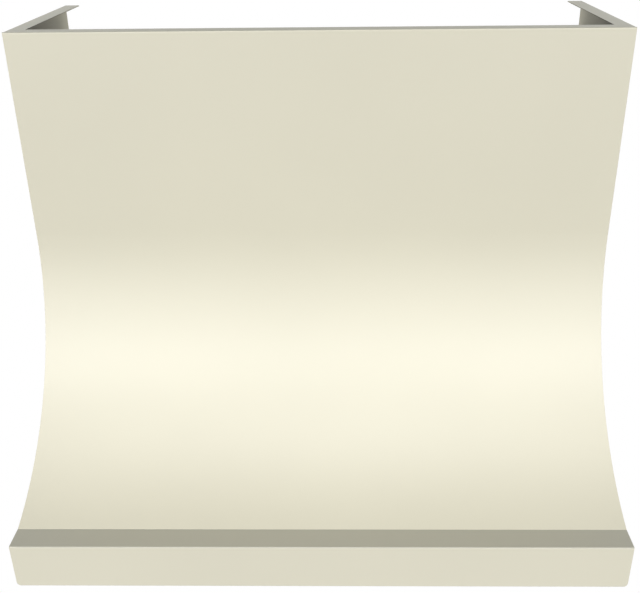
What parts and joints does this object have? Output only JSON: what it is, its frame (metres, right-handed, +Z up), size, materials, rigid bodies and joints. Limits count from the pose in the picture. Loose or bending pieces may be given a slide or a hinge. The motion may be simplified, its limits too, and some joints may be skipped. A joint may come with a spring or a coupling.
{
  "type": "wall-mount range hood",
  "caption": "Wall-mount kitchen range hood with a concave swept sheet-metal shell, hinged baffle filters, lamps, controls and a ducted blower.",
  "frame": {"origin": "on the wall plane, in the middle of the lower wall rail, 38.1 mm above the bottom rim", "axes": "+X to the right seen from the front, +Y into the wall, +Z up"},
  "size_m": [0.9144, 0.6096, 0.762],
  "materials": {
    "cream_paint": "satin powder coat",
    "galvanised": "zinc-coated sheet with a faint spangle",
    "stainless": "brushed along its length",
    "bright_steel": "plated",
    "magnet": "nickel plated",
    "frosted_lens": "frosted",
    "lamp_alloy": "die-cast",
    "knob_black": "satin moulded",
    "moulded_plastic": "moulded",
    "motor_paint": "black enamel",
    "sintered_bronze": "sintered",
    "black_rubber": "matte",
    "capacitor_can": "drawn can",
    "lead_jacket": "extruded jacket"
  },
  "bodies": {
    "hood": {"front_panel": "cream_paint", "front_apron": "cream_paint", "left_side_panel": "cream_paint", "right_side_panel": "cream_paint", "wall_cleat": "galvanised", "hanging_rail": "galvanised", "rail_end_brackets": "galvanised", "lower_rear_rail": "galvanised", "blower_box": "galvanised", "box_lid": "galvanised", "scroll_wrap": "galvanised", "left_cheek": "galvanised", "right_cheek": "galvanised", "duct_collar": "galvanised", "junction_box": "galvanised", "junction_cover": "galvanised", "motor_bracket": "galvanised", "capacitor_clamp": "galvanised", "front_strip": "stainless", "left_end": "stainless", "right_end": "stainless", "canopy_wrap": "stainless", "tray_brackets": "stainless", "control_plate": "stainless", "lamp_bezels": "stainless", "filter_pivot_rod": "bright_steel", "damper_rod": "bright_steel", "sheet_screws": "bright_steel", "filter_magnets": "magnet", "lamp_lenses": "frosted_lens", "lamp_bodies": "lamp_alloy", "fan_switch": "moulded_plastic", "light_dimmer": "moulded_plastic", "terminal_block": "moulded_plastic", "lead_clips": "moulded_plastic", "motor": "motor_paint", "motor_bush": "sintered_bronze", "motor_isolators": "black_rubber", "collar_gasket": "black_rubber", "cable_bush": "black_rubber", "capacitor": "capacitor_can", "inner_leads": "lead_jacket"},
    "impeller": {"impeller": "galvanised", "motor_shaft": "bright_steel"},
    "damper_left": {"damper_flap_left": "galvanised"},
    "damper_right": {"damper_flap_right": "galvanised"},
    "filter_left": {"filter_frame_left": "stainless", "filter_baffles_left": "stainless", "filter_pull_left": "stainless"},
    "filter_centre": {"filter_frame_centre": "stainless", "filter_baffles_centre": "stainless", "filter_pull_centre": "stainless"},
    "filter_right": {"filter_frame_right": "stainless", "filter_baffles_right": "stainless", "filter_pull_right": "stainless"},
    "grease_tray": {"grease_tray": "stainless"},
    "fan_knob": {"fan_knob": "knob_black", "fan_shaft": "bright_steel"},
    "light_knob": {"light_knob": "knob_black", "light_shaft": "bright_steel"}
  },
  "joints": [
    {"name": "impeller_spin", "type": "hinge", "parent": "hood", "child": "impeller", "pos_m": [0, -0.172, 0.3199], "axis": [1, 0, 0], "continuous": true},
    {"name": "damper_left_swing", "type": "hinge", "parent": "hood", "child": "damper_left", "pos_m": [0, -0.112, 0.5009], "axis": [0, 1, 0], "range_deg": [0, 80]},
    {"name": "damper_right_swing", "type": "hinge", "parent": "hood", "child": "damper_right", "pos_m": [0, -0.112, 0.5009], "axis": [0, -1, 0], "range_deg": [0, 80]},
    {"name": "filter_left_swing", "type": "hinge", "parent": "hood", "child": "filter_left", "pos_m": [0, -0.125, 0.0079], "axis": [1, 0, 0], "range_deg": [0, 70]},
    {"name": "filter_centre_swing", "type": "hinge", "parent": "hood", "child": "filter_centre", "pos_m": [0, -0.125, 0.0079], "axis": [1, 0, 0], "range_deg": [0, 70]},
    {"name": "filter_right_swing", "type": "hinge", "parent": "hood", "child": "filter_right", "pos_m": [0, -0.125, 0.0079], "axis": [1, 0, 0], "range_deg": [0, 70]},
    {"name": "grease_tray_lift", "type": "slide", "parent": "hood", "child": "grease_tray", "axis": [0, 0, 1], "range_m": [0, 0.012]},
    {"name": "fan_knob_turn", "type": "hinge", "parent": "hood", "child": "fan_knob", "pos_m": [-0.055, -0.5136, -0.0301], "axis": [0, 0, 1], "range_deg": [0, 270]},
    {"name": "light_knob_turn", "type": "hinge", "parent": "hood", "child": "light_knob", "pos_m": [0.055, -0.5136, -0.0301], "axis": [0, 0, 1], "range_deg": [0, 270]}
  ]
}
